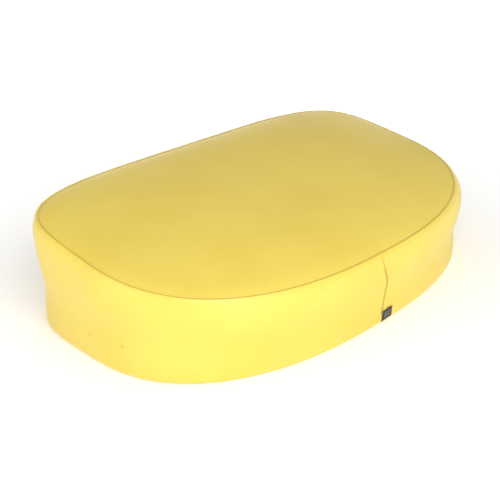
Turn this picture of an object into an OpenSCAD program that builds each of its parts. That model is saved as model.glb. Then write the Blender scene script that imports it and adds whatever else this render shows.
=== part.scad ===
/* [Cushion] */
// Greatest width, side to side, over the fullest part of the band
cushion_w = 508; // [420:1:640]
// Greatest depth, front to back, over the fullest part of the band
cushion_d = 304; // [250:1:400]
// Height of the top seam above the floor at the front
front_h = 84; // [64:1:120]
// Height of the top seam above the floor at the back
back_h = 126; // [80:1:160]
// Rise of the top panel's crown above the seam
crown_h = 10; // [4:1:20]
// Share of the depth that lies in front of the widest line
front_share = 0.545; // [0.45:0.005:0.6]
// Squareness of the curved front half, where 2 is an ellipse
front_round = 2.45; // [2:0.05:4]
// Squareness of the back half, with its long straight edge
back_round = 4.6; // [3:0.1:8]

/* [Cover] */
// Thickness of the vinyl
vinyl_t = 1.2; // [0.8:0.1:2]
// How far the band swells past the top seam at its fullest
band_bulge = 7.4; // [3:0.1:14]
// How far the band stands past the top seam at its drawn-in waist
band_waist = 1.5; // [0:0.1:5]
// Place of the waist, as a share of the firm foam's height from its top
waist_at = 0.65; // [0.4:0.05:0.8]
// Depth of the seam allowance that hangs inside the top seam
allowance = 6; // [4:0.5:10]
// Width of the hem that is turned under the board
hem_w = 26; // [18:1:40]
// Thickness of the sewing thread
thread_d = 0.6; // [0.4:0.1:1]

/* [Foam] */
// Thickness of the soft top layer
topper_t = 25; // [15:1:40]

/* [Board] */
// Thickness of the plywood board
board_t = 12; // [9:1:18]
// How far the board's edge stands past the top seam's outline
board_grow = 2; // [0:0.1:4]
// Radius that eases the board's lower edge
board_ease = 4; // [1:0.5:8]
// Diameter of the holes that let air out of the foam
vent_d = 12; // [6:1:20]
// Distance between the air holes
vent_gap = 70; // [40:1:90]

/* [Tee nuts] */
// Bolt spacing across the width
bolt_x = 203; // [120:1:260]
// Bolt spacing along the depth
bolt_y = 152; // [90:1:170]
// Diameter of the bore that takes the bolt
bolt_bore = 8; // [6:0.5:10]
// Outer diameter of the barrel
barrel_d = 10.4; // [9:0.1:14]
// Diameter of the flange
flange_d = 22; // [18:0.5:28]
// Thickness of the flange
flange_t = 1.5; // [1:0.1:2.5]
// Length of the prongs below the flange
prong_len = 6; // [4:0.5:8]

/* [Staples] */
// Distance between staples round the hem
staple_pitch = 36; // [24:1:60]
// Distance of the staples from the board's edge
staple_inset = 15; // [11:1:20]
// Width of a staple's crown
staple_w = 9.5; // [8:0.5:12]
// Width of the wire, seen from below
staple_wire = 1; // [0.8:0.1:1.4]
// Thickness of the wire
staple_t = 0.6; // [0.4:0.1:0.8]
// Length of a leg in the board
staple_leg = 7; // [5:0.5:9]

/* [Label] */
// Width of the small woven label beside the front joint
label_w = 14; // [8:1:20]
// Height of the label
label_h = 11; // [6:1:16]
// Thickness of the folded label
label_t = 0.8; // [0.4:0.1:1.2]

/* [Hidden] */
$fn = 48;
// Colours
vinyl_yellow = [0.95, 0.84, 0.36];
thread_yellow = [0.8, 0.68, 0.3];
// Room between a soft piece and its neighbour, and round a piece in its hole
gap = 0.3;
// How far a cutting shape runs past the face it opens
cut = 1;
// Points round the plan, and steps down the soft layer, the firm foam and the board's eased edge
around = 72;
topper_steps = 4;
core_steps = 5;
ease_steps = 3;
// The crown's rings as shares of the plan, and how late it falls towards the seam
crown_rings = [1, 0.96, 0.88, 0.76, 0.6, 0.4];
crown_power = 4;
// The tee nut's prongs
prongs = 4;
prong_w = 2;
prong_t = 0.8;

seam_w = cushion_w - 2 * band_bulge;
seam_d = cushion_d - 2 * band_bulge;
front_len = seam_d * front_share;
back_len = seam_d - front_len;
widest_y = front_len - seam_d / 2;
board_top = vinyl_t + board_t;
thread_gap = thread_d + 2 * gap;

// The plan is a superellipse with one squareness in front of its widest line and another behind.
// A point at turn t, moved out by grow along the outline's normal.
function plan_half(t) = sin(t) < 0 ? [front_len, front_round] : [back_len, back_round];
function power(v, p) = sign(v) * pow(abs(v), p);
function plan_unit(t) = let (n = plan_half(t)[1]) [power(cos(t), 2 / n), power(sin(t), 2 / n)];
function plan_normal(t) =
    let (u = plan_unit(t), n = plan_half(t)[1],
         g = [power(u.x, n - 1) / (seam_w / 2), power(u.y, n - 1) / plan_half(t)[0]])
    g / norm(g);
function plan_point(t, grow) =
    let (u = plan_unit(t))
    [u.x * seam_w / 2, widest_y + u.y * plan_half(t)[0]] + grow * plan_normal(t);
// Turns of the ring's points, from the joint in the middle of the front
function turn(i) = 270 + 360 * i / around;

// Height of the top seam's sloping plane at depth y
function seam_z(y) = front_h + (back_h - front_h) * (y + seam_d / 2) / seam_d;
function drop_to(y, drop) = seam_z(y) - drop;
// Height at a share of the way from the soft layer's underside to the board
function core_z(y, share) = let (top = seam_z(y) - topper_t) top + (board_top - top) * share;

// How far the cover stands past the seam, by share of the way down the soft layer
function topper_grow(share) = band_bulge * sin(110 * pow(share, 0.65));
// The same by share of the way down the firm foam: in to the waist, then out to the board
function ease_in_out(from, to, share) = from + (to - from) * (1 - cos(180 * share)) / 2;
function core_grow(share) = share < waist_at
    ? ease_in_out(topper_grow(1), band_waist, share / waist_at)
    : ease_in_out(band_waist, board_grow + gap + vinyl_t, (share - waist_at) / (1 - waist_at));

// Rings of points round the plan, on a level plane, or on the seam's plane or a plane below it
function flat_ring(grow, z) =
    [for (k = [0:around - 1]) let (p = plan_point(turn(k), grow)) [p.x, p.y, z]];
function sloped_ring(grow, drop) =
    [for (k = [0:around - 1]) let (p = plan_point(turn(k), grow)) [p.x, p.y, drop_to(p.y, drop)]];
function topper_ring(i, inset) =
    sloped_ring(topper_grow(i / topper_steps) - inset, topper_t * i / topper_steps);
function core_ring(i, inset) =
    [for (k = [0:around - 1])
        let (p = plan_point(turn(k), core_grow(i / core_steps) - inset))
        [p.x, p.y, core_z(p.y, i / core_steps)]];
// A ring of the crowned top, drawn in about the middle of the widest line
function crown_ring(share, drop) =
    [for (k = [0:around - 1])
        let (p = plan_point(turn(k), 0), y = widest_y + (p.y - widest_y) * share)
        [p.x * share, y, drop_to(y, drop) + crown_h * (1 - pow(share, crown_power))]];
function inner_crown(drop) = [for (i = [1:len(crown_rings) - 1]) crown_ring(crown_rings[i], drop)];
function backwards(rows) = [for (i = [len(rows) - 1:-1:0]) rows[i]];
function joined(lists) = [for (l = lists) each l];

// A closed solid through a stack of rings from the lowest up, with a flat lid at each end
module stack(rings) {
    n = len(rings[0]);
    last = (len(rings) - 1) * n;
    polyhedron(joined(rings), [
        [for (k = [0:n - 1]) k],
        for (r = [0:len(rings) - 2], k = [0:n - 1]) let (a = r * n + k, b = r * n + (k + 1) % n)
            each [[a, b + n, b], [a, a + n, b + n]],
        [for (k = [0:n - 1]) last + n - 1 - k]]);
}

// A closed solid through sections, each a closed loop of points: a ring of them, or a strip with two ends
module run(sections, ring) {
    n = len(sections[0]);
    total = len(sections);
    polyhedron(joined(sections), [
        for (s = [0:total - (ring ? 1 : 2)], k = [0:n - 1])
            let (a = s * n + k, b = s * n + (k + 1) % n,
                 c = ((s + 1) % total) * n + k, d = ((s + 1) % total) * n + (k + 1) % n)
            each [[a, c, b], [b, c, d]],
        if (!ring) [for (k = [0:n - 1]) k],
        if (!ring) [for (k = [0:n - 1]) (total - 1) * n + n - 1 - k]]);
}

// The cover's side as [distance past the seam, kind of height, its value], from the seam to the hem's end
function side_rows(inset) = [
    [topper_grow(0) - inset, "drop", vinyl_t + thread_gap],
    for (i = [1:topper_steps]) [topper_grow(i / topper_steps) - inset, "drop", topper_t * i / topper_steps],
    for (i = [1:core_steps]) [core_grow(i / core_steps) - inset, "core", i / core_steps],
    for (i = [0:ease_steps])
        let (a = 90 * (1 - i / ease_steps), r = board_ease + vinyl_t - inset)
        [board_grow + gap - board_ease + r * sin(a), "flat", vinyl_t + board_ease - r * cos(a)],
    [board_grow - hem_w, "flat", inset]];
function row_z(row, y) =
    row[1] == "drop" ? drop_to(y, row[2]) : row[1] == "core" ? core_z(y, row[2]) : row[2];
function placed_row(row, t, shift) =
    let (n = plan_normal(t), p = plan_point(t, row[0]) + shift * [-n.y, n.x]) [p.x, p.y, row_z(row, p.y)];
// One section of the band at turn t, moved by shift along the outline
function band_section(t, shift) =
    [for (row = concat(side_rows(0), backwards(side_rows(vinyl_t)))) placed_row(row, t, shift)];

// The line of staples as [x, y, outward x, outward y], and the distance along it to each point
staple_line = [for (k = [0:around])
    concat(plan_point(turn(k), board_grow - staple_inset), plan_normal(turn(k)))];
function line_step(k) = norm([for (j = [0, 1]) staple_line[k + 1][j] - staple_line[k][j]]);
line_lengths = [for (k = 0, s = 0; k <= around; s = s + (k < around ? line_step(k) : 0), k = k + 1) s];
function along_line(s) =
    [for (j = [0:3]) lookup(s, [for (k = [0:around]) [line_lengths[k], staple_line[k][j]]])];
staple_count = round(line_lengths[around] / staple_pitch);

// Puts its children at even distances round the hem, X along it, with none on the front joint
module at_staples() {
    for (i = [0:staple_count - 1]) {
        place = along_line((i + 0.5) * line_lengths[around] / staple_count);
        translate([place[0], place[1], 0]) rotate([0, 0, atan2(place[3], place[2]) + 90]) children();
    }
}

// Two legs from the crown up into the board, or with room, the slits that take them
module staple_legs(room) {
    rise = vinyl_t / 2 + staple_leg + room;
    for (side = [-1, 1])
        translate([side * (staple_w - staple_t) / 2, 0, (vinyl_t + rise) / 2])
            cube([staple_t + 2 * room, staple_wire + 2 * room, rise], center = true);
}

module at_bolts() {
    for (x = [-bolt_x / 2, bolt_x / 2], y = [-bolt_y / 2, bolt_y / 2]) translate([x, y, 0]) children();
}

module tee_prongs(room) {
    for (i = [0:prongs - 1])
        rotate([0, 0, 360 * i / prongs])
            translate([flange_d / 2 - prong_t, 0, board_top - flange_t - (prong_len + room) / 2])
                cube([prong_t + 2 * room, prong_w + 2 * room, prong_len + room], center = true);
}

// Plywood board with recessed tee nuts, air holes and the slits that the staples' legs make
module base_board() {
    color("burlywood")
        difference() {
            stack([
                for (i = [0:ease_steps])
                    let (a = 90 * i / ease_steps)
                    flat_ring(board_grow - board_ease * (1 - sin(a)), vinyl_t + board_ease * (1 - cos(a))),
                flat_ring(board_grow, board_top)]);
            at_bolts() {
                translate([0, 0, board_top - flange_t - gap])
                    cylinder(d = flange_d + 2 * gap, h = flange_t + cut);
                cylinder(d = barrel_d + 2 * gap, h = board_top);
                tee_prongs(gap);
            }
            for (x = [-vent_gap, 0, vent_gap])
                translate([x, 0, 0]) cylinder(d = vent_d, h = board_top + cut);
            at_staples() staple_legs(gap);
        }
}

// Steel tee nuts: a flange let into the board's top, a barrel and four prongs
module t_nuts() {
    color("silver")
        at_bolts()
            difference() {
                union() {
                    translate([0, 0, board_top - flange_t]) cylinder(d = flange_d, h = flange_t);
                    translate([0, 0, vinyl_t + gap]) cylinder(d = barrel_d, h = board_t - gap);
                    tee_prongs(0);
                }
                cylinder(d = bolt_bore, h = board_top + cut);
            }
}

// Firm foam block, cut to a wedge, that stands on the board
module foam_core() {
    color("wheat")
        stack([for (i = [core_steps:-1:0]) core_ring(i, vinyl_t + gap)]);
}

// Soft foam layer with a crowned top, shelved round its edge to clear the seam allowance
module foam_topper() {
    shelf = 2 * (vinyl_t + gap);
    color("ivory")
        stack(concat(
            [sloped_ring(topper_grow(1) - vinyl_t - gap, topper_t - gap)],
            [for (i = [topper_steps - 1:-1:2]) topper_ring(i, vinyl_t + gap)],
            [sloped_ring(-shelf, allowance + gap), sloped_ring(-shelf, vinyl_t + gap)],
            inner_crown(vinyl_t + gap)));
}

// Crowned vinyl top with its edge turned down inside the band
module top_panel() {
    flange = vinyl_t + gap;
    color(vinyl_yellow)
        stack(concat(
            backwards(inner_crown(vinyl_t)),
            [sloped_ring(-flange - vinyl_t, vinyl_t), sloped_ring(-flange - vinyl_t, allowance),
             sloped_ring(-flange, allowance), sloped_ring(-flange, vinyl_t), sloped_ring(0, vinyl_t)],
            [for (share = crown_rings) crown_ring(share, 0)]));
}

// Vinyl strip round the side, its two ends meeting in the middle of the front, with its hem under the board
module side_band() {
    ends = [for (k = [0:around]) k == 0 ? thread_gap / 2 : k == around ? -thread_gap / 2 : 0];
    color(vinyl_yellow)
        difference() {
            run([for (k = [0:around]) band_section(turn(k), ends[k])], false);
            at_staples()
                cube([staple_w + 2 * gap, staple_wire + 2 * gap, 2 * vinyl_t + cut], center = true);
        }
}

// Thread that lies in the seam between the top panel and the band
module top_seam_thread() {
    r = thread_d / 2;
    color(thread_yellow)
        run([for (k = [0:around - 1])
            [for (q = [[0, r], [r, 0], [0, -r], [-r, 0]])
                let (p = plan_point(turn(k), q.x - gap - r))
                [p.x, p.y, drop_to(p.y, vinyl_t + thread_gap / 2 - q.y)]]], true);
}

// Thread between the band's two ends, down the middle of the front
module band_seam_thread() {
    inner = (vinyl_t + thread_d) / 2;
    outer = (vinyl_t - thread_d) / 2;
    color(thread_yellow)
        rotate([90, 0, 90])
            linear_extrude(thread_d, center = true)
                polygon([for (row = concat(side_rows(outer), backwards(side_rows(inner))))
                    let (p = placed_row(row, turn(0), 0)) [p.y, p.z]]);
}

// Steel staples that hold the hem, their crowns pressed into the vinyl
module hem_staples() {
    color("silver")
        at_staples() {
            translate([0, 0, vinyl_t / 2]) cube([staple_w, staple_wire, staple_t], center = true);
            staple_legs(0);
        }
}

// Folded woven label at the foot of the front joint
module woven_label() {
    face = plan_point(turn(0), board_grow + 2 * gap + vinyl_t).y;
    color([0.2, 0.2, 0.2])
        translate([thread_gap, face - label_t, vinyl_t + gap])
            cube([label_w, label_t, label_h]);
}

base_board();
t_nuts();
foam_core();
foam_topper();
top_panel();
side_band();
top_seam_thread();
band_seam_thread();
hem_staples();
woven_label();
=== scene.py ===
import math

import bpy
import numpy as np
from mathutils import Matrix, Vector


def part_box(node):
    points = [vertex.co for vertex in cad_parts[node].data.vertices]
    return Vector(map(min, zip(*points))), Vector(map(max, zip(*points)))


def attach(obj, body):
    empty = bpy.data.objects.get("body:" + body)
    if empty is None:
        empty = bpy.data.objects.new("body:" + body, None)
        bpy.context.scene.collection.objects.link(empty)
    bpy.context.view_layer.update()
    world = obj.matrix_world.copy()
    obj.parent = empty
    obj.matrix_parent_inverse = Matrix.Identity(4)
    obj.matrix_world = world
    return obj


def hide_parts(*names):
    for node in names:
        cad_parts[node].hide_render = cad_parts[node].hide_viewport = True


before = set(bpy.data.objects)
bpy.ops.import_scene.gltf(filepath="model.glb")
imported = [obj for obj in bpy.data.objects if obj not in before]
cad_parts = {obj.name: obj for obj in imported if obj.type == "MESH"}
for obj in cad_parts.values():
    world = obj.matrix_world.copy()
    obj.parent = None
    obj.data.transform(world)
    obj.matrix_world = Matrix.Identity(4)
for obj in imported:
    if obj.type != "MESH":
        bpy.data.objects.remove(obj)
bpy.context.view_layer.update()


# --- Plywood board -------------------------------------------------------------------------------
# The board that the cushion is built on: birch plywood, sawn to the plan and sanded. Its underside
# shows inside the hem. The CAD piece has its shape, so only its finish is made here.

MM = 0.001


def linear(colour):
    """An sRGB hex value as linear red, green, blue and 1: x / 12.92 near black, a 2.4 power above."""
    parts = [int(colour[i:i + 2], 16) / 255 for i in (1, 3, 5)]
    return [p / 12.92 if p <= 0.04045 else ((p + 0.055) / 1.055) ** 2.4 for p in parts] + [1]


def add(tree, kind, inputs, **settings):
    """Adds a node with its settings. inputs gives each socket, by name or number, a value or another
    node's output."""
    node = tree.nodes.new(kind)
    for key, value in settings.items():
        setattr(node, key, value)
    for key, value in inputs.items():
        if isinstance(value, bpy.types.NodeSocket):
            tree.links.new(value, node.inputs[key])
        else:
            node.inputs[key].default_value = value
    return node


def material(name, **values):
    """A new material: its node tree and its shader, with the values that are the same all over set on the
    shader."""
    made = bpy.data.materials.new(name)
    made.use_nodes = True
    shader = made.node_tree.nodes["Principled BSDF"]
    for key, value in values.items():
        shader.inputs[key.replace("_", " ")].default_value = value
    return made, made.node_tree, shader


def birch_plywood():
    """Rotary-cut birch, sanded and left bare: pale, long wandering grain, fine dark pores, no gloss."""
    made, tree, shader = material("birch_plywood", IOR=1.5)
    place = add(tree, "ShaderNodeTexCoord", {}).outputs["Object"]
    # Rotary-cut figure is some 15 mm across the grain and ten times as long along it.
    figure_at = add(tree, "ShaderNodeMapping", {"Vector": place, "Scale": (6, 65, 65)}).outputs[0]
    figure = add(tree, "ShaderNodeTexNoise", {"Vector": figure_at, "Scale": 1, "Detail": 5,
                                              "Distortion": 1.2})
    # Pores are 0.4 mm wide and 4 mm long, which is coarser than birch's: its own are too fine to show.
    pore_at = add(tree, "ShaderNodeMapping", {"Vector": place, "Scale": (250, 2600, 2600)}).outputs[0]
    pores = add(tree, "ShaderNodeTexNoise", {"Vector": pore_at, "Scale": 1, "Detail": 2})
    bands = add(tree, "ShaderNodeMapRange", {"Value": figure.outputs[0], "From Min": 0.35, "From Max": 0.68})
    wood = add(tree, "ShaderNodeMix", {0: bands.outputs[0], 6: linear("#DDBE8E"), 7: linear("#B98D5C")},
               data_type="RGBA")
    dark = add(tree, "ShaderNodeMapRange", {"Value": pores.outputs[0], "From Min": 0.58, "From Max": 0.75,
                                            "To Max": 0.45})
    colour = add(tree, "ShaderNodeMix", {0: dark.outputs[0], 6: wood.outputs[2], 7: linear("#6E4E2E")},
                 data_type="RGBA")
    tree.links.new(colour.outputs[2], shader.inputs["Base Color"])
    dull = add(tree, "ShaderNodeMapRange", {"Value": figure.outputs[0], "To Min": 0.6, "To Max": 0.8})
    tree.links.new(dull.outputs[0], shader.inputs["Roughness"])
    bump = add(tree, "ShaderNodeBump", {"Height": pores.outputs[0], "Strength": 0.5, "Distance": 0.15 * MM})
    tree.links.new(bump.outputs[0], shader.inputs["Normal"])
    return made


def finish_node(name, made):
    """Gives a CAD piece its material."""
    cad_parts[name].data.materials.clear()
    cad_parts[name].data.materials.append(made)


finish_node("base_board", birch_plywood())


# --- Tee nuts ------------------------------------------------------------------------------------
# Four pressed steel tee nuts, hammered into the board from above, with a bore for the seat's bolts.
# Bright zinc plate dulls unevenly and takes a faint yellow cast.

def zinc_plated_steel():
    """Bright zinc on pressed steel: metallic, half dull, clouded in patches of about 3 mm."""
    made, tree, shader = material("zinc_plated_steel", Metallic=1.0)
    place = add(tree, "ShaderNodeTexCoord", {}).outputs["Object"]
    cloud = add(tree, "ShaderNodeTexNoise", {"Vector": place, "Scale": 330, "Detail": 4})
    colour = add(tree, "ShaderNodeMix", {0: cloud.outputs[0], 6: linear("#C9CCCE"), 7: linear("#B4AC93")},
                 data_type="RGBA")
    tree.links.new(colour.outputs[2], shader.inputs["Base Color"])
    dull = add(tree, "ShaderNodeMapRange", {"Value": cloud.outputs[0], "To Min": 0.25, "To Max": 0.5})
    tree.links.new(dull.outputs[0], shader.inputs["Roughness"])
    return made


finish_node("t_nuts", zinc_plated_steel())


# --- Foam ----------------------------------------------------------------------------------------
# A firm foam wedge glued to the board, and a softer layer glued on top of it. Both are cut from
# open-cell polyurethane block, which is dull and pitted. The cover hides them.

def open_cell_foam(name, fresh, pit_shade, cell):
    """Cut polyurethane foam: cells of the given size leave pits, painted dark as shade, in a dull, slightly
    yellowed face.
    """
    made, tree, shader = material(name, Roughness=0.95, IOR=1.45)
    place = add(tree, "ShaderNodeTexCoord", {}).outputs["Object"]
    cells = add(tree, "ShaderNodeTexVoronoi", {"Vector": place, "Scale": 1 / cell})
    pits = add(tree, "ShaderNodeMapRange", {"Value": cells.outputs["Distance"], "From Min": 0.1,
                                            "From Max": 0.6})
    # The pits take the darker colour: painted shade.
    colour = add(tree, "ShaderNodeMix", {0: pits.outputs[0], 6: linear(pit_shade), 7: linear(fresh)},
                 data_type="RGBA")
    tree.links.new(colour.outputs[2], shader.inputs["Base Color"])
    bump = add(tree, "ShaderNodeBump", {"Height": pits.outputs[0], "Strength": 0.8, "Distance": cell / 2})
    tree.links.new(bump.outputs[0], shader.inputs["Normal"])
    return made


finish_node("foam_core", open_cell_foam("firm_polyurethane_foam", "#E3D3A6", "#A8925C", 1.2 * MM))
finish_node("foam_topper", open_cell_foam("soft_polyurethane_foam", "#EDE6CF", "#C4B78F", 0.8 * MM))


# --- Top panel -----------------------------------------------------------------------------------
# One piece of yellow upholstery vinyl, cut to the plan and pulled over the crowned foam. Its edge
# turns down into the seam all round. Foam pressure rounds it, which a cloth simulation works out.

top_low, top_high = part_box("top_panel")
side_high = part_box("side_band")[1]
SEAM_W = top_high.x - top_low.x
SEAM_D = top_high.y - top_low.y
BULGE = side_high.x - top_high.x
BOARD_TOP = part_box("base_board")[1].z
FRONT_H, BACK_H, CROWN = 84 * MM, 126 * MM, 10 * MM
FRONT_SHARE, FRONT_SQUARE, BACK_SQUARE = 0.545, 2.45, 4.6
WIDEST_Y = SEAM_D * (FRONT_SHARE - 0.5)
VINYL, TOPPER, GAP = 1.2 * MM, 25 * MM, 0.3 * MM
BOARD_GROW, BOARD_EASE = 2 * MM, 4 * MM
WAIST, WAIST_AT = 1.5 * MM, 0.65
FULLER = 4.6 * MM


def signed_power(value, power):
    return np.sign(value) * np.abs(value) ** power


def plan(turn, grow=0.0):
    """A superellipse, |x/a|^n + |y/b|^n = 1, with its own b and n before and behind its widest line.
    grow moves a point out along the outline's normal. Gives x, y and the normal's x and y."""
    c, s = np.cos(turn), np.sin(turn)
    n = np.where(s < 0, FRONT_SQUARE, BACK_SQUARE)
    b = np.where(s < 0, SEAM_D * FRONT_SHARE, SEAM_D * (1 - FRONT_SHARE))
    x, y = signed_power(c, 2 / n), signed_power(s, 2 / n)
    nx, ny = signed_power(x, n - 1) / (SEAM_W / 2), signed_power(y, n - 1) / b
    length = np.hypot(nx, ny)
    nx, ny = nx / length, ny / length
    return x * SEAM_W / 2 + grow * nx, WIDEST_Y + y * b + grow * ny, nx, ny


def seam_z(y):
    """The seam's plane rises evenly from the front to the back."""
    return FRONT_H + (BACK_H - FRONT_H) * (y + SEAM_D / 2) / SEAM_D


FINE_TURN = np.linspace(1.5, 3.5, 40001) * np.pi
fine_x, fine_y, _, _ = plan(FINE_TURN)
FINE_LENGTH = np.concatenate([[0], np.cumsum(np.hypot(np.diff(fine_x), np.diff(fine_y)))])
ROUND = FINE_LENGTH[-1]


def columns(pitch, joint_pitch=None, joint_reach=0.0):
    """Distances round the seam from the front joint, evenly spaced, and closer within reach of the joint."""
    places = np.linspace(0, ROUND, round(ROUND / pitch), endpoint=False)
    if joint_pitch:
        near = np.arange(-joint_reach, joint_reach, joint_pitch)
        away = (places > joint_reach) & (places < ROUND - joint_reach)
        places = np.sort(np.concatenate([places[away], near % ROUND]))
    return places


def turn_at(distance):
    return np.interp(distance, FINE_LENGTH, FINE_TURN)


def from_joint(distance):
    """Distance from the front joint, positive to the right of it."""
    return np.where(distance > ROUND / 2, distance - ROUND, distance)


def wander(distance, waves, seed):
    """Smooth chance variation round the seam, about -1 to 1: waves of the given counts, each at a seeded
    phase."""
    chance = np.random.default_rng(seed)
    total = sum(np.sin(2 * np.pi * w * distance / ROUND + chance.uniform(0, 2 * np.pi)) for w in waves)
    return total / math.sqrt(len(waves))


def bell(distance, width):
    return np.exp(-(distance / width) ** 2)


def ease(value):
    """Smooth step: 3 v^2 - 2 v^3 of the value held between 0 and 1."""
    v = np.clip(value, 0, 1)
    return v * v * (3 - 2 * v)


def top_shape(share, turn, crown):
    """The crowned top: the plan drawn in by share, its height above the seam's plane crown (1 - share^4)."""
    x, y, _, _ = plan(turn)
    x, y = x * share, WIDEST_Y + (y - WIDEST_Y) * share
    return np.stack(np.broadcast_arrays(x, y, seam_z(y) + crown * (1 - share ** 4)), -1)


def grow_down(share, bulge, waist):
    """How far the side stands past the seam. share runs 0 to 1 down the soft layer, where the foam swells it,
    1 to 2 down the firm foam, in to the waist and out to the board, and stays there down to 3."""
    swell = bulge * np.sin(np.radians(110) * np.clip(share, 0, 1) ** 0.65)
    full = bulge * math.sin(math.radians(110))
    edge = BOARD_GROW + GAP + VINYL
    firm = np.clip(share - 1, 0, 1)
    draw = full + (waist - full) * (1 - np.cos(np.pi * np.clip(firm / WAIST_AT, 0, 1))) / 2
    past_waist = np.clip((firm - WAIST_AT) / (1 - WAIST_AT), 0, 1)
    push = waist + (edge - waist) * (1 - np.cos(np.pi * past_waist)) / 2
    return np.where(share < 1, swell, np.where(firm < WAIST_AT, draw, push))


def side_z(share, plane):
    """Height at a share down the side, 0 to 3, below a seam plane at height plane."""
    firm, low = np.clip(share - 1, 0, 1), np.clip(share - 2, 0, 1)
    soft = plane - TOPPER * np.clip(share, 0, 1)
    bottom = VINYL + BOARD_EASE
    return np.where(share < 1, soft, (1 - firm) * soft + firm * BOARD_TOP - low * (BOARD_TOP - bottom))


def side_shape(share, turn, bulge=BULGE, waist=WAIST, inset=0.0):
    """The side's surface, its plan grown by grow_down at each share down from the seam. The foam was
    packed more fully at the right of the front, which adds FULLER where the plan faces that way."""
    _, _, nx, ny = plan(turn)
    fuller = FULLER * np.clip(0.8 * nx - 0.6 * ny, 0, 1) ** 6 * ease(share / 0.5)
    x, y, _, _ = plan(turn, grow_down(share, bulge, waist) + fuller - inset)
    return np.stack(np.broadcast_arrays(x, y, side_z(share, seam_z(y))), -1)


def loop_faces(rows, around, closed):
    """Quads between neighbouring rows of points round the plan, and from the last row to the first if
    closed."""
    r = np.arange(rows if closed else rows - 1)[:, None]
    k = np.arange(around)[None]
    a, b = r * around + k, r * around + (k + 1) % around
    a_next, b_next = (a + around) % (rows * around), (b + around) % (rows * around)
    return np.stack([a, a_next, b_next, b], -1).reshape(-1, 4)


def mesh_piece(name, points, faces, fans=()):
    """A smooth mesh from points and quads, with fans of triangles given as (pole's point, ring of
    numbers)."""
    rows = faces.tolist()
    for pole, ring in fans:
        rows += np.stack([np.full(len(ring), pole), ring, np.roll(ring, -1)], -1).tolist()
    mesh = bpy.data.meshes.new(name)
    mesh.from_pydata(np.asarray(points).reshape(-1, 3).tolist(), [], rows)
    mesh.shade_smooth()
    piece = bpy.data.objects.new(name, mesh)
    bpy.context.scene.collection.objects.link(piece)
    return piece


# The simulated cover has few points, evenly spaced, and starts drawn in from its measured shape.
SIM_ROWS, SIM_PITCH = 10, 15 * MM
SIM_TURN = turn_at(columns(SIM_PITCH))
TOP_SHARES = np.linspace(1 / SIM_ROWS, 1, SIM_ROWS)
SIDE_SHARES = np.linspace(0, 3, SIM_ROWS + 1)[1:]
OUT_CAP, IN_CAP = 2.5 * MM, 0.4 * MM
START_CROWN, START_BULGE, START_WAIST = 0.86, 0.9, 0.6
PRESSURE, STIFFNESS, LAST_FRAME = 4, 15, 20


def sim_points(crown, bulge, waist):
    top = top_shape(TOP_SHARES[:, None], SIM_TURN[None], crown)
    side = side_shape(SIDE_SHARES[:, None], SIM_TURN[None], bulge, waist)
    return np.concatenate([top, side])


def swell_cover():
    """Blows the closed cover up with cloth pressure, its seam and board edge held, and gives each point's
    move from the measured shape, held to OUT_CAP outwards and IN_CAP inwards, for the top's rows and the
    side's."""
    goal = sim_points(CROWN, BULGE, WAIST)
    start = sim_points(START_CROWN * CROWN, START_BULGE * BULGE, START_WAIST * WAIST)
    around = len(SIM_TURN)
    poles = [[0, WIDEST_Y, seam_z(WIDEST_Y) + START_CROWN * CROWN], [0, WIDEST_Y, VINYL]]
    count = len(start) * around
    faces = loop_faces(len(start), around, False)
    ring = np.arange(around)
    piece = mesh_piece("cover_being_filled", np.concatenate([start.reshape(-1, 3), poles]), faces,
                       [(count, ring), (count + 1, ring[::-1] + count - around)])
    held = piece.vertex_groups.new(name="held")
    seam, board_edge = ring + (SIM_ROWS - 1) * around, np.arange(count - 4 * around, count)
    held.add(np.concatenate([seam, board_edge, [count + 1]]).tolist(), 1.0, "REPLACE")
    cloth = piece.modifiers.new("cloth", "CLOTH")
    cloth.settings.vertex_group_mass = "held"
    cloth.settings.quality = 6
    cloth.settings.mass = 0.3
    cloth.settings.tension_stiffness = cloth.settings.compression_stiffness = STIFFNESS
    cloth.settings.use_pressure = True
    cloth.settings.uniform_pressure_force = PRESSURE
    cloth.settings.effector_weights.gravity = 0
    cloth.collision_settings.use_collision = False
    cloth.point_cache.frame_start, cloth.point_cache.frame_end = 1, LAST_FRAME
    for number in range(1, LAST_FRAME + 1):
        bpy.context.scene.frame_set(number)
    filled = piece.evaluated_get(bpy.context.evaluated_depsgraph_get()).data
    found = np.empty(len(filled.vertices) * 3)
    filled.vertices.foreach_get("co", found)
    bpy.context.scene.frame_set(1)
    bpy.data.objects.remove(piece)
    moved = found.reshape(-1, 3)[:count].reshape(goal.shape) - goal
    out = outward(goal)
    along = (moved * out).sum(-1)
    kept = np.clip(along, -IN_CAP, OUT_CAP)[..., None] * out
    middle = np.broadcast_to(kept[0].mean(0), kept[:1].shape)
    return np.concatenate([middle, kept[:SIM_ROWS]]), kept[SIM_ROWS - 1:]


def outward(grid):
    """Unit normals of a grid of rows round the plan: the cross product of its two directions."""
    down = np.gradient(grid, axis=0)
    along = np.roll(grid, -1, 1) - np.roll(grid, 1, 1)
    normal = np.cross(down, along)
    return normal / np.maximum(np.linalg.norm(normal, axis=-1, keepdims=True), 1e-12)


def spline(values, at, wraps):
    """Cubic B-spline along the first axis, through evenly spaced values, at fractional places."""
    first = np.floor(at).astype(int)
    f = (at - first).reshape(-1, *[1] * (values.ndim - 1))
    weights = [(1 - f) ** 3, 3 * f ** 3 - 6 * f ** 2 + 4, -3 * f ** 3 + 3 * f ** 2 + 3 * f + 1, f ** 3]
    last = len(values)
    picks = [(first + k - 1) % last if wraps else np.clip(first + k - 1, 0, last - 1) for k in range(4)]
    return sum(w * values[p] for w, p in zip(weights, picks)) / 6


def spread(moves, row_places, distances):
    """The simulated moves at every fine row and column."""
    rows = spline(moves, row_places, False)
    around = np.swapaxes(rows, 0, 1)
    return np.swapaxes(spline(around, distances / ROUND * len(SIM_TURN), True), 0, 1)


top_moves, side_moves = swell_cover()

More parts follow.
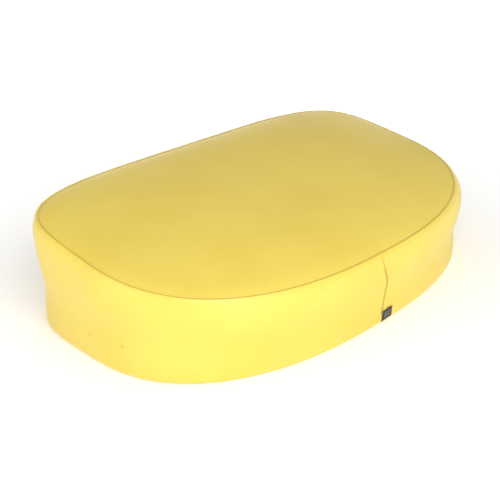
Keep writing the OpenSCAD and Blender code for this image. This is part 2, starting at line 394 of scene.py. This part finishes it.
# The seam pulls both sheets down into a valley, and each stitch gathers them a little.
VALLEY, VALLEY_W = 1.1 * MM, 0.5 * MM
STITCH = 4.5 * MM
ROLL, ROLL_W = 0.9 * MM, 7 * MM
COLUMNS = columns(1.5 * MM, 0.45 * MM, 12 * MM)
TURNS = turn_at(COLUMNS)


def top_panel():
    """The top's rows run from the middle to the seam, close together near it, then back underneath."""
    edge = np.concatenate([7 * np.linspace(0, 1, 20) ** 1.6, np.linspace(8.5, 26, 11)]) * MM
    reach = np.hypot(*plan(TURNS)[:2] - np.array([[0], [WIDEST_Y]]))
    inner = np.linspace(0.02, 1, 30)[:, None] * np.ones_like(reach)
    rim = (1 - edge / np.minimum(reach, 0.16)[:, None]).T[::-1]
    shares = np.concatenate([inner[:-1] * rim[0], rim])
    grid = top_shape(shares, TURNS[None], CROWN)
    grid = grid + spread(top_moves, shares.mean(1) * SIM_ROWS, COLUMNS)
    away = (1 - shares) * reach
    gather = 1 + 0.16 * np.cos(2 * np.pi * COLUMNS / STITCH) + 0.1 * wander(COLUMNS, (7, 12, 19, 31), 3)
    dip = VALLEY * bell(away, VALLEY_W) * gather + ROLL * bell(away, ROLL_W)
    waves = 0.10 * MM * bell(away - 4 * MM, 5 * MM) * wander(COLUMNS, (41, 57, 73, 96, 120), 5)
    grid[..., 2] += waves - dip
    below = grid[[*range(len(grid) - 1, 0, -6), 0]] - np.array([0, 0, VINYL])
    points = np.concatenate([grid, below])
    around = len(TURNS)
    crest = grid[0].mean(0)
    total = len(points) * around
    ring = np.arange(around)
    piece = mesh_piece("top_cover", np.concatenate([points.reshape(-1, 3), [crest, crest - [0, 0, VINYL]]]),
                       loop_faces(len(points), around, False),
                       [(total, ring), (total + 1, ring[::-1] + total - around)])
    # Painted shade along the seam's valley, stored as the crease attribute for the vinyl.
    seam_shade = np.concatenate([np.broadcast_to(0.7 * bell(away, 0.55 * MM), grid.shape[:2]).ravel(),
                           np.zeros(len(below) * around + 2)])
    paint(piece, "crease", seam_shade)
    return piece


def paint(piece, name, values):
    """Stores one number a point, for the material to read."""
    layer = piece.data.attributes.new(name, "FLOAT", "POINT")
    layer.data.foreach_set("value", np.asarray(values, np.float32))


def upholstery_vinyl():
    """Calendered PVC on knit cloth, embossed with a fine leather grain and lacquered: even yellow, a soft
    broad gloss, painted shade in the seams, the front joint and the hem's pleats, and a white knit back that
    shows only at cut edges."""
    made, tree, shader = material("upholstery_vinyl", IOR=1.5)
    place = add(tree, "ShaderNodeTexCoord", {}).outputs["Object"]
    crease = add(tree, "ShaderNodeAttribute", {}, attribute_name="crease").outputs["Fac"]
    cut = add(tree, "ShaderNodeAttribute", {}, attribute_name="cut").outputs["Fac"]
    # Pigment and lacquer drift over hands' breadths and, more faintly, over centimetres.
    drift = add(tree, "ShaderNodeTexNoise", {"Vector": place, "Scale": 9, "Detail": 3, "Roughness": 0.55})
    shade = add(tree, "ShaderNodeMapRange", {"Value": drift.outputs[0], "From Min": 0.35, "From Max": 0.65})
    yellow = add(tree, "ShaderNodeMix", {0: shade.outputs[0], 6: linear("#F0D256"), 7: linear("#F4D95F")},
                 data_type="RGBA")
    # Embossed pebbles are 1.1 mm across, with a net of finer wrinkles in them.
    pebble = add(tree, "ShaderNodeTexVoronoi", {"Vector": place, "Scale": 900, "Smoothness": 0.6},
                 feature="SMOOTH_F1")
    wrinkle = add(tree, "ShaderNodeTexNoise", {"Vector": place, "Scale": 2200, "Detail": 3, "Roughness": 0.6})
    # Painted shade darkens the seam, the front joint and the hem's pleats; the grain's low places are a
    # little darker.
    low = add(tree, "ShaderNodeMapRange", {"Value": pebble.outputs["Distance"], "From Min": 0.45,
                                           "From Max": 0.8, "To Max": 0.09})
    grained = add(tree, "ShaderNodeMix", {0: low.outputs[0], 6: yellow.outputs[2], 7: linear("#C9A536")},
                  data_type="RGBA")
    # The crease attribute, halved, mixes in a darker olive: painted shade in the seam, down the front joint
    # and on the hem's pleats.
    painted_shade = add(tree, "ShaderNodeMath", {0: crease, 1: 0.5}, operation="MULTIPLY")
    shaded_and_rubbed = add(tree, "ShaderNodeMix", {0: painted_shade.outputs[0], 6: grained.outputs[2], 7: linear("#95760F")},
                data_type="RGBA")
    # Two round rubs on the left end, from handling, fade out 3 mm from their middles.
    for x, y, z in ((-248 * MM, 15 * MM, 28 * MM), (-244.5 * MM, -29 * MM, 31 * MM)):
        apart = add(tree, "ShaderNodeVectorMath", {0: place, 1: (x, y, z)}, operation="DISTANCE")
        rub = add(tree, "ShaderNodeMapRange", {"Value": apart.outputs["Value"], "From Min": 0.5 * MM,
                                               "From Max": 3 * MM, "To Min": 0.35, "To Max": 0})
        shaded_and_rubbed = add(tree, "ShaderNodeMix", {0: rub.outputs[0], 6: shaded_and_rubbed.outputs[2], 7: linear("#86803A")},
                    data_type="RGBA")
    colour = add(tree, "ShaderNodeMix", {0: cut, 6: shaded_and_rubbed.outputs[2], 7: linear("#E6DFCB")}, data_type="RGBA")
    tree.links.new(colour.outputs[2], shader.inputs["Base Color"])
    worn = add(tree, "ShaderNodeTexNoise", {"Vector": place, "Scale": 38, "Detail": 5, "Roughness": 0.65})
    gloss = add(tree, "ShaderNodeMapRange", {"Value": worn.outputs[0], "From Min": 0.3, "From Max": 0.7,
                                             "To Min": 0.34, "To Max": 0.42})
    dull = add(tree, "ShaderNodeMath", {0: cut, 1: 0.5, 2: gloss.outputs[0]}, operation="MULTIPLY_ADD")
    tree.links.new(dull.outputs[0], shader.inputs["Roughness"])
    grain = add(tree, "ShaderNodeMath", {0: wrinkle.outputs[0], 1: 0.35, 2: pebble.outputs["Distance"]},
                operation="MULTIPLY_ADD")
    bump = add(tree, "ShaderNodeBump", {"Height": grain.outputs[0], "Strength": 0.3, "Distance": -0.09 * MM})
    tree.links.new(bump.outputs[0], shader.inputs["Normal"])
    return made


VINYL_FINISH = upholstery_vinyl()


def place_piece(piece, finish, slot, *nodes):
    """A finished piece: its material, its body, its slot, which is not used, and the CAD nodes it stands for.
    """
    piece.data.materials.append(finish)
    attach(piece, "root")
    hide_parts(*nodes)


top_cover = top_panel()
place_piece(top_cover, VINYL_FINISH, "yellow_vinyl", "top_panel")


# --- Side band -----------------------------------------------------------------------------------
# A strip of the same vinyl, sewn to the top all round and to itself in the middle of the front. It
# swells over the soft foam, draws in below, wraps the board's edge and is turned under as a hem.

HEM_W, HEM_Z = 26 * MM, 0.15 * MM
STAPLE_STEP, STAPLE_IN = 36 * MM, 15 * MM
ALLOWANCE = 5.6 * MM
JOINT_W, JOINT_DEPTH = 0.75 * MM, 1.4 * MM
PLEAT_STEP, PLEAT_H = 13 * MM, 0.62 * MM


def staple_line():
    """The staples' places as x, y and outward normal: even steps along a polygon of the plan's own points."""
    around = 72
    turns = 1.5 * np.pi + 2 * np.pi * np.arange(around + 1) / around
    line = np.stack(plan(turns, BOARD_GROW - STAPLE_IN), -1)
    lengths = np.concatenate([[0], np.cumsum(np.hypot(*np.diff(line[:, :2], axis=0).T))])
    count = round(lengths[-1] / STAPLE_STEP)
    at = (np.arange(count) + 0.5) * lengths[-1] / count
    return np.stack([np.interp(at, lengths, line[:, j]) for j in range(4)], -1)


def joint_offset(share):
    """The front joint bows: left of the middle at both ends, right of it below half height, by a half
    sine of a power of the share."""
    return (-7.5 + 9.6 * np.sin(np.pi * np.clip((share - 0.2) / 1.95, 0, 1) ** 1.9)) * MM


def joint_fade(share):
    """The joint opens slowly below the seam, is fully sunk from share 0.9 to 2.1 and closes on the
    board's edge."""
    opened = (0.5 + 0.5 * ease((share - 0.2) / 0.7)) * ease(share / 0.15)
    return opened * (1 - 0.8 * ease((share - 2.1) / 0.15))


def side_band():
    """The band's rows run down the outside from the seam, round the board's edge and in under it to the hem's
    cut edge, then back up inside, so the strip is closed round its whole section."""
    soft = np.concatenate([9 * np.linspace(0, 1, 24) ** 1.5, np.linspace(10.2, 25, 10)]) * MM / TOPPER
    share = np.concatenate([soft, np.linspace(1, 2, 24)[1:], np.linspace(2, 3, 5)[1:]])
    grid = side_shape(share[:, None], TURNS[None])
    grid = grid + spread(side_moves, share * SIM_ROWS / 3, COLUMNS)
    out = outward(grid)
    away = (share * TOPPER)[:, None]
    distance = from_joint(COLUMNS)
    gather = 1 + 0.16 * np.cos(2 * np.pi * COLUMNS / STITCH) + 0.1 * wander(COLUMNS, (7, 12, 19, 31), 3)
    grid[..., 2] -= VALLEY * bell(away, VALLEY_W) * gather
    # The two allowances lie under the band and end in a soft step below the seam.
    step = 0.45 * MM * ease(away / (1.5 * MM)) * (1 - ease((away - ALLOWANCE + 0.8 * MM) / (1.6 * MM)))
    lift = step * (1 + 0.25 * wander(COLUMNS, (5, 9, 14, 23), 11))
    tight = 1 + 0.5 * np.clip(np.abs(plan(TURNS)[2]), 0, 1) ** 4
    pucker = bell(away - 3.5 * MM, 4.5 * MM) * 0.12 * MM * tight
    pucker = pucker * wander(COLUMNS, (61, 83, 104, 131, 157), 17)
    # The padding is never quite even: soft lumps a few centimetres wide, fading at the seam and the board.
    lumps = 0.3 * MM + 0.45 * MM * (wander(COLUMNS, (7, 11, 16, 23), 41) * bell(share[:, None] - 0.7, 0.6)
                                    + wander(COLUMNS, (8, 13, 19, 28), 43) * bell(share[:, None] - 1.5, 0.4))
    lumps = np.maximum(lumps, -0.25 * MM) * np.sin(np.pi * np.clip(share[:, None] / 2, 0, 1))
    # At the joint the two ends turn in, the allowance raises a strip to the right, and folds fan from
    # its foot.
    side = distance - joint_offset(share[:, None])
    groove = -JOINT_DEPTH * bell(side, JOINT_W) * joint_fade(share[:, None])
    strip = 0.35 * MM * ease(side / (1.2 * MM)) * (1 - ease((side - 6.5 * MM) / (2 * MM)))
    foot = bell(share[:, None] - 2.25, 0.35) * bell(side, 7 * MM)
    folds = 0.3 * MM * foot * np.sin(2 * np.pi * side / (3.1 * MM) + 1.3)
    top_fold = 0.25 * MM * bell(share[:, None] - 0.3, 0.3) * bell(side + 1.5 * MM, 4 * MM)
    relief = lift + pucker + lumps + groove + strip * ease(share[:, None] / 0.3) + folds + top_fold
    grid = grid + relief[..., None] * out

    edge = BOARD_GROW + GAP - BOARD_EASE
    angle = np.linspace(90, 0, 8)[1:, None] * np.pi / 180
    radius = BOARD_EASE + VINYL
    _, _, nx, ny = plan(TURNS)
    fuller = FULLER * np.clip(0.8 * nx - 0.6 * ny, 0, 1) ** 6
    x, y, _, _ = plan(TURNS[None], edge + radius * np.sin(angle) + fuller)
    corner = np.stack([x, y, np.broadcast_to(VINYL + BOARD_EASE - radius * np.cos(angle), x.shape)], -1)
    corner[..., 2] += HEM_Z * (1 - angle / (np.pi / 2))
    cut_edge = BOARD_GROW - HEM_W + 1.2 * MM * wander(COLUMNS, (4, 9, 17, 26, 38), 23)
    inward = np.linspace(0, 1, 19)[1:, None]
    x, y, _, _ = plan(TURNS[None], edge + fuller + (cut_edge - edge - fuller) * inward)
    hem = np.stack([x, y, np.full_like(x, HEM_Z)], -1)
    hem[..., 2] += hem_relief(hem, inward)
    rolled = np.concatenate([grid, corner, hem])

    # The inner surface has few rows, so it is set deeper than the vinyl is thick, most of all at the joint:
    # nowhere does it come through the outside.
    inner_share = np.linspace(0, 3, 13)[::-1, None]
    slack = 0.8 * MM * ease(inner_share / 0.25) * ease((3 - inner_share) / 0.25)
    slack = slack + 1.2 * MM * bell(distance, 12 * MM)
    inside = side_shape(inner_share, TURNS[None], inset=VINYL + slack)
    inside[-1, :, 2] = grid[0, :, 2] - 0.4 * MM
    x, y, _, _ = plan(TURNS[None], np.stack([cut_edge, np.full_like(cut_edge, edge + BOARD_EASE * 0.7)]))
    under = np.stack([x, y, np.broadcast_to([[VINYL - 0.02 * MM], [VINYL + 0.3 * BOARD_EASE]], x.shape)], -1)
    points = np.concatenate([rolled, under[:1], under, inside])
    points[len(rolled), :, :] = (rolled[-1] + under[0]) / 2
    around = len(TURNS)
    piece = mesh_piece("band_cover", points, loop_faces(len(points), around, True))
    # Painted shade along the seam's valley and, darker, down the front joint's groove.
    crease = np.maximum(0.7 * bell(away, 0.55 * MM) * np.ones_like(distance),
                        1.8 * bell(side, 0.85 * MM) * joint_fade(share[:, None]))
    painted_shade, cut = np.zeros((2, len(points), around))
    painted_shade[:len(grid)] = crease
    # Painted shade on the hem's pleats and staple dimples, darker where they stand higher.
    painted_shade[len(grid) + len(corner):len(rolled)] = (hem[..., 2] - HEM_Z) / (0.9 * MM)
    paint(piece, "crease", painted_shade.ravel())
    cut[len(rolled) - 1] = 0.5
    cut[len(rolled):] = 1
    paint(piece, "cut", cut.ravel())
    return piece


def hem_relief(hem, inward):
    """Height added under the board: pleats where the plan turns sharply, and a dimple at each staple."""
    dx, dy = np.gradient(plan(TURNS)[2]), np.gradient(plan(TURNS)[3])
    bend = np.hypot(dx, dy) / np.gradient(COLUMNS)
    strength = 0.12 + 0.88 * ease((bend - 5) / 7)
    phase = COLUMNS / PLEAT_STEP + 0.45 * wander(COLUMNS, (9, 16, 27, 44), 31)
    crease = bell((phase % 1 - 0.5) * 13, 1.8 + 1.2 * inward) + 0.5 * bell((phase * 1.6 % 1 - 0.5) * 8, 1.5)
    pleats = PLEAT_H * strength * crease * ease(inward * 1.5)
    waves = 0.05 * MM * (1 + wander(COLUMNS, (23, 37, 51), 37)) * ease(inward * 2)
    dimple = np.zeros(hem.shape[:2])
    for x, y, nx, ny in staple_line():
        out = (hem[..., 0] - x) * nx + (hem[..., 1] - y) * ny
        along = (hem[..., 0] - x) * -ny + (hem[..., 1] - y) * nx
        press = bell(np.maximum(np.abs(along) - 4 * MM, 0), 1.5 * MM) * bell(out, 1.6 * MM)
        dimple = np.maximum(dimple, press)
    return np.minimum(np.maximum(pleats + waves, PLEAT_H * dimple), 0.72 * MM)


band_cover = side_band()
place_piece(band_cover, VINYL_FINISH, "yellow_vinyl", "side_band")


# --- Thread --------------------------------------------------------------------------------------
# Bonded polyester thread in lockstitch: one short stitch after another in the valley between the
# top and the band, and down the front joint. It is sunk in the vinyl, so only its back shows.

def bonded_thread():
    """Twisted polyester with a bonding coat: a slightly darker yellow, uneven along its plies, a faint
    gloss."""
    made, tree, shader = material("bonded_polyester_thread", Roughness=0.55, IOR=1.55)
    place = add(tree, "ShaderNodeTexCoord", {}).outputs["Object"]
    # The plies' twist is too fine to show, so it is drawn as light and dark patches 0.25 mm across.
    plies = add(tree, "ShaderNodeTexNoise", {"Vector": place, "Scale": 4000, "Detail": 1})
    colour = add(tree, "ShaderNodeMix", {0: plies.outputs[0], 6: linear("#B8922C"), 7: linear("#E2C352")},
                 data_type="RGBA")
    tree.links.new(colour.outputs[2], shader.inputs["Base Color"])
    bump = add(tree, "ShaderNodeBump", {"Height": plies.outputs[0], "Strength": 0.6, "Distance": 0.1 * MM})
    tree.links.new(bump.outputs[0], shader.inputs["Normal"])
    return made


def stitches(name, middles, directions, outs, length, thickness):
    """A row of stitches, each a spindle of 6 sides and 4 rings that dips into the cloth at both ends:
    radius and height both follow a half sine along it."""
    lengthwise = np.linspace(-0.5, 0.5, 4)
    swell = np.cos(np.pi * lengthwise * 0.92)
    angle = np.arange(6) * np.pi / 3
    side = np.cross(directions, outs)
    across = (np.cos(angle)[None, None, :, None] * side[:, None, None]
              + np.sin(angle)[None, None, :, None] * outs[:, None, None])
    spine = middles[:, None] + directions[:, None] * (lengthwise * length)[None, :, None]
    spine = spine + outs[:, None] * ((swell - 1) * thickness * 0.8)[None, :, None]
    points = spine[:, :, None] + across * (swell * thickness / 2)[None, :, None, None]
    count = len(middles)
    r, k = np.meshgrid(np.arange(3), np.arange(6), indexing="ij")
    near, far = r * 6 + k, r * 6 + (k + 1) % 6
    quads = np.stack([near, near + 6, far + 6, far], -1).reshape(-1, 4)
    ends = np.array([[0, 1, 2, 3], [0, 3, 4, 5], [18, 21, 20, 19], [18, 23, 22, 21]])
    faces = (np.concatenate([quads, ends])[None] + (np.arange(count) * 24)[:, None, None]).reshape(-1, 4)
    return mesh_piece(name, points, faces)


def seam_stitches():
    count = round(ROUND / STITCH)
    turns = turn_at((np.arange(count) + 0.5) * ROUND / count)
    x, y, nx, ny = plan(turns)
    level = seam_z(y) - VALLEY - ROLL + 0.05 * MM
    slope = (BACK_H - FRONT_H) / SEAM_D
    along = np.stack([-ny, nx, slope * nx], -1)
    along /= np.linalg.norm(along, axis=1)[:, None]
    up = np.tile([0.0, -slope, 1.0], (count, 1)) / math.hypot(slope, 1)
    return stitches("top_stitches", np.stack([x, y, level], -1), along, up, 0.86 * STITCH, 0.7 * MM)


def joint_stitches():
    share = np.linspace(0.45, 2.6, 22)
    turns = turn_at(joint_offset(share) % ROUND)
    x, y, nx, ny = plan(turns, grow_down(share, BULGE, WAIST) - 1.0 * MM)
    middles = np.stack([x, y, side_z(share, seam_z(y))], -1)
    along = np.gradient(middles, axis=0)
    along /= np.linalg.norm(along, axis=1)[:, None]
    out = np.stack([nx, ny, np.zeros_like(nx)], -1)
    return stitches("joint_stitches", middles, along, out, 0.7 * STITCH, 0.6 * MM)


THREAD_FINISH = bonded_thread()
place_piece(seam_stitches(), THREAD_FINISH, "thread", "top_seam_thread")
place_piece(joint_stitches(), THREAD_FINISH, "thread", "band_seam_thread")


# --- Hem staples ---------------------------------------------------------------------------------
# Galvanised wire staples, shot through the hem into the board. Their crowns press the vinyl in, so
# the hem stays the lowest thing on the cushion. The CAD piece has their shape.

def galvanised_wire():
    """Drawn and galvanised wire: metallic, fairly dull, with fine lines from the die."""
    made, tree, shader = material("galvanised_wire", Metallic=1.0)
    place = add(tree, "ShaderNodeTexCoord", {}).outputs["Object"]
    spangle = add(tree, "ShaderNodeTexVoronoi", {"Vector": place, "Scale": 1500})
    colour = add(tree, "ShaderNodeMix", {0: spangle.outputs["Distance"], 6: linear("#BFC3C6"),
                                         7: linear("#8F9496")}, data_type="RGBA")
    tree.links.new(colour.outputs[2], shader.inputs["Base Color"])
    dull = add(tree, "ShaderNodeMapRange", {"Value": spangle.outputs["Distance"], "To Min": 0.3,
                                            "To Max": 0.5})
    tree.links.new(dull.outputs[0], shader.inputs["Roughness"])
    return made


finish_node("hem_staples", galvanised_wire())


# --- Woven label ---------------------------------------------------------------------------------
# A short folded loop of dark woven ribbon, sewn in at the foot of the front joint and lying on the
# band. It is kept plain: a grey field in a black border, with no marking.

def woven_ribbon():
    """Damask-woven polyester: near-black border, grey field, ribs and twill lines that catch the light."""
    made, tree, shader = material("woven_polyester_ribbon", Roughness=0.7, IOR=1.5, Sheen_Weight=0.15)
    field = add(tree, "ShaderNodeAttribute", {}, attribute_name="field").outputs["Fac"]
    place = add(tree, "ShaderNodeTexCoord", {}).outputs["Object"]
    # A ribbon's own ribs and twill are too fine to show, so they are drawn 0.5 mm and 2.6 mm apart.
    ribs = add(tree, "ShaderNodeTexWave", {"Vector": place, "Scale": math.pi / (10 * 0.5 * MM),
                                           "Distortion": 0.4}, bands_direction="Z")
    twill = add(tree, "ShaderNodeTexWave", {"Vector": place, "Scale": math.pi / (5 * 2.6 * MM),
                                            "Distortion": 0.8}, bands_direction="DIAGONAL")
    weave = add(tree, "ShaderNodeMath", {0: ribs.outputs["Fac"], 1: twill.outputs["Fac"]},
                operation="MULTIPLY")
    pattern = add(tree, "ShaderNodeMapRange", {"Value": weave.outputs[0], "To Min": 0.12, "To Max": 1.0})
    share = add(tree, "ShaderNodeMath", {0: field, 1: pattern.outputs[0]}, operation="MULTIPLY")
    colour = add(tree, "ShaderNodeMix", {0: share.outputs[0], 6: linear("#181715"), 7: linear("#8C8A86")},
                 data_type="RGBA")
    tree.links.new(colour.outputs[2], shader.inputs["Base Color"])
    bump = add(tree, "ShaderNodeBump", {"Height": weave.outputs[0], "Strength": 0.7, "Distance": 0.15 * MM})
    tree.links.new(bump.outputs[0], shader.inputs["Normal"])
    return made


def grid_quads(number):
    """Quads of an open grid, from its points' numbers."""
    return np.stack([number[:-1, :-1], number[:-1, 1:], number[1:, 1:], number[1:, :-1]], -1).reshape(-1, 4)


def label():
    """Two layers of ribbon as one closed pillow: a box whose faces puff by a product of sines, flat at
    its sewn left edge and curling off the band towards its fold."""
    low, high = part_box("woven_label")
    across, up = np.linspace(0, 1, 29), np.linspace(0, 1, 23)
    u, v = np.meshgrid(across, up)
    puff = (np.sin(np.pi * u) * np.sin(np.pi * v)) ** 0.35
    lean = (0.2 + 0.5 * u ** 3 + 0.9 * v + 0.2 * np.sin(2.5 * np.pi * v) * u) * MM
    x = low.x + (high.x - low.x) * u * 1.12 - 3.6 * MM + 0.3 * MM * np.sin(np.pi * v)
    z = low.z + (high.z - low.z) * v * 1.15 + 1.8 * MM + 1.5 * MM * u
    half = (high.y - low.y) / 2
    middle = (low.y + high.y) / 2 - lean
    front = np.stack([x, middle - half * puff, z], -1)
    back = np.stack([x, middle + half * puff, z], -1)[1:-1, 1:-1]
    rows, cols = u.shape
    number = np.arange(rows * cols).reshape(rows, cols)
    behind = number.copy()
    behind[1:-1, 1:-1] = rows * cols + np.arange((rows - 2) * (cols - 2)).reshape(rows - 2, cols - 2)
    points = np.concatenate([front.reshape(-1, 3), back.reshape(-1, 3)])
    faces = np.concatenate([grid_quads(number), grid_quads(behind)[:, ::-1]])
    piece = mesh_piece("folded_label", points, faces)
    inset = np.minimum(np.minimum(u, 1 - u) * 14, np.minimum(v, 1 - v) * 11)
    field = ease((inset - 1.9) / 0.8)
    paint(piece, "field", np.concatenate([field.ravel(), np.zeros((rows - 2) * (cols - 2))]))
    return piece


place_piece(label(), woven_ribbon(), "label_cloth", "woven_label")


# --- Floor, light and camera ---------------------------------------------------------------------
# An opal white product table, a large soft light by the camera with a low strip under it, a smaller one
# from the left, a low one behind, and a dim surround.

def opal_acrylic():
    """A product table's sheet of opal acrylic: matt white, lit softly from below and more so away from
    the middle."""
    made, tree, shader = material("opal_acrylic", Roughness=0.8, Emission_Color=(1, 1, 1, 1))
    place = add(tree, "ShaderNodeTexCoord", {}).outputs["Object"]
    mottle = add(tree, "ShaderNodeTexNoise", {"Vector": place, "Scale": 3, "Detail": 3})
    colour = add(tree, "ShaderNodeMix", {0: mottle.outputs[0], 6: linear("#FDFDFD"), 7: linear("#F8F8F8")},
                 data_type="RGBA")
    tree.links.new(colour.outputs[2], shader.inputs["Base Color"])
    away = add(tree, "ShaderNodeVectorMath", {0: place}, operation="LENGTH")
    glow = add(tree, "ShaderNodeMapRange", {"Value": away.outputs["Value"], "From Min": 0.25, "From Max": 1.1,
                                            "To Min": 0.2, "To Max": 0.95})
    tree.links.new(glow.outputs[0], shader.inputs["Emission Strength"])
    return made


FLOOR = 40.0
floor_corners = np.array([[-1, -1, 0], [1, -1, 0], [1, 1, 0], [-1, 1, 0]]) * FLOOR
floor = mesh_piece("floor", floor_corners, np.array([[0, 1, 2, 3]]))
floor.data.materials.append(opal_acrylic())


def view_axes(azimuth, elevation):
    """Right, up and back of something that looks at the cushion from azimuth, in degrees from the front (-Y)
    towards +X, and elevation."""
    a, e = math.radians(azimuth), math.radians(elevation)
    back = Vector((math.sin(a) * math.cos(e), -math.cos(a) * math.cos(e), math.sin(e)))
    right = Vector((math.cos(a), math.sin(a), 0))
    return right, back.cross(right), back


def aimed(data, azimuth, elevation, distance, shift_right=0.0, shift_up=0.0, roll=0.0):
    """Places a light or camera at a distance from the middle of the plan's widest line, looking along
    -back."""
    right, up, back = view_axes(azimuth, elevation)
    place = Vector((0, WIDEST_Y, 0)) + back * distance + right * shift_right + up * shift_up
    thing = bpy.data.objects.new(data.name, data)
    turned = Matrix((right, up, back)).transposed().to_4x4() @ Matrix.Rotation(math.radians(roll), 4, "Z")
    thing.matrix_world = Matrix.Translation(place) @ turned
    bpy.context.scene.collection.objects.link(thing)
    return thing


def softbox(name, power, width, height, azimuth, elevation, distance):
    light = bpy.data.lights.new(name, "AREA")
    light.shape = "RECTANGLE"
    light.energy, light.size, light.size_y = power, width, height
    return aimed(light, azimuth, elevation, distance)


softbox("key", 5.7, 0.7, 0.5, -29, 42, 1.15)
softbox("strip", 1.5, 0.7, 0.14, -24, 10, 1.2)
softbox("fill", 1.9, 0.6, 0.8, -95, 22, 1.3)
softbox("back", 5.5, 2.6, 0.5, 145, 9, 2.4)

world = bpy.data.worlds.new("surround")
bpy.context.scene.world = world
world.use_nodes = True
world.node_tree.nodes["Background"].inputs["Color"].default_value = (1, 1, 1, 1)
world.node_tree.nodes["Background"].inputs["Strength"].default_value = 0.48

camera = bpy.data.cameras.new("camera")
camera.lens, camera.sensor_width = 64.0, 36.0
bpy.context.scene.camera = aimed(camera, -45.55, 26.03, 1.0247, -0.0215, 0.0277, -0.35)
bpy.context.scene.view_settings.view_transform = "Standard"
